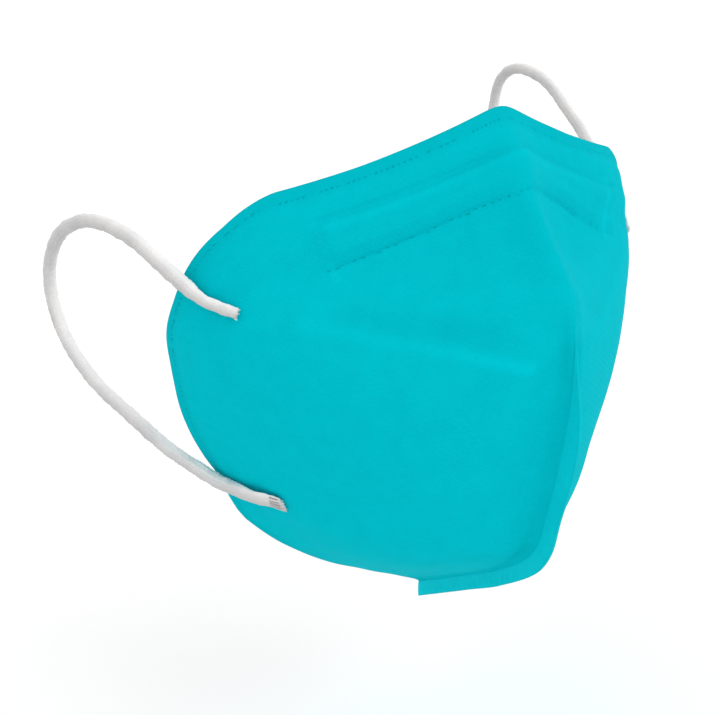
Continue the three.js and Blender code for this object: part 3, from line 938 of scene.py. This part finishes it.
def dotFaces(faces, row, column, down, swing):  # about every second face of the lines of weld dots
    fromTop, fromBottom, fromEdge, fromCentre = edgeDistances(down, swing)
    half = cloth["hemStep"] / 2
    beside = fromEdge < np.minimum(fromTop, 10 * mm)
    wantedAway = np.where(beside, weldDots["side"], weldDots["top"])
    onRim = (np.abs(rimAway(down, swing) - wantedAway) < half) & (fromEdge + fromBottom > 14 * mm)
    belowStrip = fromTop - noseLower(swing, fromCentre) - noseStrip["lowerGroove"]["at"]
    onStrip = (np.abs(belowStrip) < half) & (noseEnd(fromTop, fromCentre) > 0)
    wanted = (onRim | onStrip) & (np.where(beside, row, column) % 2 == 0)
    first, last = weldDots["loopCrosses"]
    crowded = beside & (down > first) & (down < last) & (np.abs(fromEdge - weldDots["side"]) < 2 * half)
    wanted |= crowded & ((row * 5 + column * 3) % 7 < 3)
    return [face for face, dot in zip(faces, wanted)
            if dot and random.random() < weldDots["kept"] and face.calc_area() > weldDots["leastFace"]]


def addLining(bm, normals, walls):  # the inner face of the web, joined to the outer one round the cut edge
    outer = list(bm.verts)
    copied = bmesh.ops.duplicate(bm, geom=bm.faces)
    for vert, push in zip(outer, normals * walls[:, None]):
        copied["vert_map"][vert].co -= Vector(push)
    for item in copied["geom"]:
        if isinstance(item, bmesh.types.BMFace):
            item.material_index = 1
    verts = [item for item in copied["geom"] if isinstance(item, bmesh.types.BMVert)]
    middle = [vert for vert in verts if not vert.is_boundary]
    for _ in range(cloth["liningSmooth"]):
        bmesh.ops.smooth_vert(bm, verts=middle, factor=0.5, use_axis_x=True, use_axis_y=True, use_axis_z=True)
    bmesh.ops.bridge_loops(bm, edges=[edge for edge in bm.edges if edge.is_boundary])
    bmesh.ops.recalc_face_normals(bm, faces=bm.faces)


def pressDots(bm, dots):  # the dots are pits, in three depths
    depths = weldDots["depths"]
    for start, depth in enumerate(depths):
        bmesh.ops.inset_individual(bm, faces=dots[start::len(depths)], thickness=weldDots["wall"],
                                   depth=-depth, use_even_offset=False, use_interpolate=True)
    for face in dots:
        if face.calc_center_median().x < 0:  # they are darker on the right cheek only
            face.material_index = 2


def clothPlaces(row, column):  # shares down and across, with close lines beside edges, strip and seam
    widths = rowLength(row / cloth["rows"])
    lines = spacedLines(cloth["columns"], widths[None, :], cloth["seamLines"], cloth["seamStep"],
                        cloth["hemLines"], cloth["hemStep"])
    across = lines[np.abs(column), np.arange(len(column))] / widths
    heights = columnLength(across)
    lines = spacedLines(cloth["rows"], heights[None, :], cloth["noseLines"], cloth["hemStep"],
                        cloth["hemLines"], cloth["hemStep"])
    return lines[row, np.arange(len(row))] / heights, across * np.sign(column)


def makeCloth(materials):
    rows, columns = cloth["rows"], cloth["columns"]
    bm, flat = flatGrid(2 * columns, rows, 1)
    column = np.rint(flat[:, 0] * columns).astype(int)
    row = np.rint((1 - flat[:, 1]) / 2 * rows).astype(int)
    down, swing = clothPlaces(row, column)
    drawnDown, drawnSwing = cornerPlace(down, swing)

    base = roundedPoint(drawnDown, drawnSwing) + edgeGrowth(down, swing)
    normals = clothNormals(drawnDown, drawnSwing)
    shaped = base + normals * clothRelief(down, swing, base)[:, None]
    shaped += seamFlare(down, swing)[:, None] * ridgeOut(down)
    mapFaces(bm, "cloth", np.column_stack([0.5 + drawnSwing / 2, 1 - drawnDown]))
    # the web is coloured darker at its welds and by painted shade, and lighter by painted highlights
    placeVerts(bm, shaped, pressed=weldToneAndPaintedLightShare(down, swing))

    faces = list(bm.faces)
    corners = np.array([[vert.index for vert in face.verts] for face in faces])
    full = smoothStep(*cloth["rimWidth"], rimAway(down, swing))
    addLining(bm, normals, cloth["thickness"] * mixed(cloth["rimShare"], 1, full))
    dots = dotFaces(faces, row[corners].min(1), column[corners].min(1),
                    down[corners].mean(1), swing[corners].mean(1))
    pressDots(bm, dots)
    made = meshObject("mask_cloth", bm, materials)
    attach(made, "root")
    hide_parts("panel_right", "panel_left", "nose_strip")
    print("cloth:", len(made.data.polygons), "faces,", len(dots), "weld dots")


makeCloth([clothTeal, clothInner, clothDots])


# the welded chin seam

seam = {
    "from": 0.33,
    "fullAt": 0.5,
    "sink": 1.7 * mm,  # how deep its root lies in the cloth where it starts, and at the chin
    "endSink": 0.8 * mm,
    "startWidth": -1.1 * mm,  # it starts below the face of the cloth
    "width": 4.6 * mm,
    "endReach": 3.6 * mm,  # how far its outer edge runs on at the chin
    "endFrom": 0.85,
    "thickness": 1.0 * mm,
    "thinShare": 0.3,
    "lean": 0.55 * mm,
    "steps": 190,
    "strips": 9,
    "slant": 0.4,  # how far the pressed marks lean, in steps for each strip
    "toothEvery": 4,
    "toothStrips": (4, 5, 6),
    "teethFrom": 0.62,
    "toothWall": 0.14 * mm,
    "toothDepth": 0.1 * mm,
    # the fin's crest is coloured darker, a painted shade that tones down its lit edge
    "crestPaintedShade": 0.8,
    "rounding": 0.22 * mm,
}


def seamGrown(down):
    return smoothStep(seam["from"], seam["fullAt"], down)


def seamPoints(down, along, up):  # the fin's middle sheet; up is 0 at its root and 1 at its outer edge
    grown = seamGrown(down)
    width = mixed(seam["startWidth"], seam["width"], grown)
    sink = mixed(seam["sink"], seam["endSink"], grown)
    out = ridgeOut(down)
    points = ridgeOf(throughRows(sectionTable, down)) + out * (up * (width + sink) - sink)[:, None]
    lean = np.array([noise.noise(Vector((0, point[1], point[2])) * 90) for point in points])
    points[:, 0] = seam["lean"] * lean * up
    ending = np.clip((along - seam["endFrom"]) / (1 - seam["endFrom"]), 0, 1)
    reach = seam["endReach"] * up ** 0.7 * ending ** 2
    return points + np.cross((1, 0, 0), out) * reach[:, None]  # its end is cut in line with the cloth's


def seamTeeth(bm):  # the faces of the slanted pressed marks
    steps, strips = seam["steps"], seam["strips"]
    teeth = []
    for face in bm.faces:
        middle = face.calc_center_median()
        step, strip = int((middle.x + 0.5) * steps), int((middle.y + 0.5) * strips)
        inside = seam["teethFrom"] * steps < step < steps - 4
        if inside and step % seam["toothEvery"] == 1 and strip in seam["toothStrips"]:
            teeth.append(face)
    return teeth


def doubleSeam(bm, teeth, walls):  # the other face of the fin, joined to the first all round
    near = list(bm.verts)
    other = bmesh.ops.duplicate(bm, geom=bm.faces)
    for vert, wall in zip(near, walls):
        other["vert_map"][vert].co.x += wall
    teeth = teeth + [other["face_map"][face] for face in teeth]
    bmesh.ops.bridge_loops(bm, edges=[edge for edge in bm.edges if edge.is_boundary])
    bmesh.ops.recalc_face_normals(bm, faces=bm.faces)
    return teeth


def makeSeam(material):
    steps, strips = seam["steps"], seam["strips"]
    bm, flat = flatGrid(steps, strips, 0.5)
    teeth = seamTeeth(bm)
    along, up = (flat + 0.5).T
    middle = np.minimum(along * (1 - along) * 24, 1)  # the two ends stay straight
    slanted = along + seam["slant"] / steps * strips * (up - 0.5) * middle
    down = mixed(seam["from"], 1, slanted)
    points = seamPoints(down, along, up)
    walls = seam["thickness"] * mixed(seam["thinShare"], 1, seamGrown(down))
    points[:, 0] -= walls / 2
    mapFaces(bm, "cloth", np.column_stack([along, 0.5 + up * 0.03]))
    # painted shade along the fin's crest
    placeVerts(bm, points, pressed=np.where(up > 0.95, seam["crestPaintedShade"], 0))
    teeth = doubleSeam(bm, teeth, walls)
    bmesh.ops.inset_region(bm, faces=teeth, thickness=seam["toothWall"], depth=-seam["toothDepth"],
                           use_even_offset=True, use_boundary=True, use_interpolate=True)
    made = meshObject("chin_seam_weld", bm, [material])
    rounded = made.modifiers.new("softRim", "BEVEL")
    rounded.width = seam["rounding"]
    rounded.segments = 2
    rounded.limit_method = "ANGLE"
    rounded.angle_limit = math.radians(60)
    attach(made, "root")
    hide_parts("chin_seam")
    print("chin seam:", len(teeth), "pressed faces")


makeSeam(finClothPaintedLighter)


# frayed cut ends of the loops

fray = {
    "strands": 22,
    "length": 0.55 * mm,
    "thick": 0.07 * mm,
    "tipShare": 0.3,
    "spread": 0.5,  # how far the outer threads lean aside
}


def addThread(bm, middle, outward, up, weld):
    across = outward.cross(up).normalized()
    radius = loop["diameter"] / 2
    place = random.uniform(-1, 1)
    base = middle + across * place * radius * weld["width"] * 0.92
    base += up * random.uniform(-0.5, 0.5) * radius * weld["height"]
    way = outward + across * (place * fray["spread"] + random.uniform(-0.3, 0.3))
    way += up * random.uniform(-0.15, 0.35)
    length = fray["length"] * random.uniform(0.5, 1.2)
    turn = way.to_track_quat("Z", "Y").to_matrix().to_4x4()
    turn.translation = base + way.normalized() * length * 0.4
    bmesh.ops.create_cone(bm, cap_ends=True, segments=5, radius1=fray["thick"],
                          radius2=fray["thick"] * fray["tipShare"], depth=length, matrix=turn)


def makeFray(name, side, material):
    line, startNormal, endNormal = strandLine(name, side)
    bm = bmesh.new()
    ends = ((line[0], line[0] - line[6], startNormal, welds["upper"]),
            (line[-1], line[-1] - line[-7], endNormal, welds["lower"]))
    for middle, outward, normal, weld in ends:
        for _ in range(fray["strands"]):
            addThread(bm, Vector(middle), Vector(outward).normalized(), Vector(normal), weld)
    made = meshObject("loop_fray_" + name, bm, [material])
    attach(made, "root")


makeFray("right", -1, loopWhite)
makeFray("left", 1, loopWhite)
print("loop ends frayed")


# floor and light

studio = {
    "floorDrop": 34 * mm,
    "floorSize": 60,
    "floorColour": (0.97, 0.97, 0.97, 1),
    "world": 0.91,
    "sunSpread": 45,
    "keyLight": {"place": (0.5, -0.6, 0.7), "power": 0.85},
    "sideLight": {"place": (-0.8, -0.4, 0.5), "power": 0.3},
}


def makeFloor():
    bm = bmesh.new()
    bmesh.ops.create_grid(bm, x_segments=1, y_segments=1, size=studio["floorSize"])
    bmesh.ops.translate(bm, verts=bm.verts, vec=(0, 0, cadBox[0].z - studio["floorDrop"]))
    material, _, shader = startMaterial("paleFloor")
    shader.inputs["Base Color"].default_value = studio["floorColour"]
    shader.inputs["Roughness"].default_value = 0.9
    shader.inputs["Specular IOR Level"].default_value = 0
    meshObject("floor", bm, [material], smooth=False)


def makeSun(name):  # a broad soft light
    place = Vector(studio[name]["place"])
    data = bpy.data.lights.new(name, "SUN")
    data.energy = studio[name]["power"]
    data.angle = math.radians(studio["sunSpread"])
    lamp = link(name, data)
    lamp.location = place
    lamp.rotation_euler = (-place).to_track_quat("-Z", "Y").to_euler()


def makeWorld():
    world = bpy.data.worlds.new("studioWorld")
    world.use_nodes = True
    background = world.node_tree.nodes["Background"]
    background.inputs["Color"].default_value = (1, 1, 1, 1)
    background.inputs["Strength"].default_value = studio["world"]
    bpy.context.scene.world = world
    bpy.context.scene.view_settings.view_transform = "Standard"


makeFloor()
makeWorld()
makeSun("keyLight")
makeSun("sideLight")
print("stage ready")
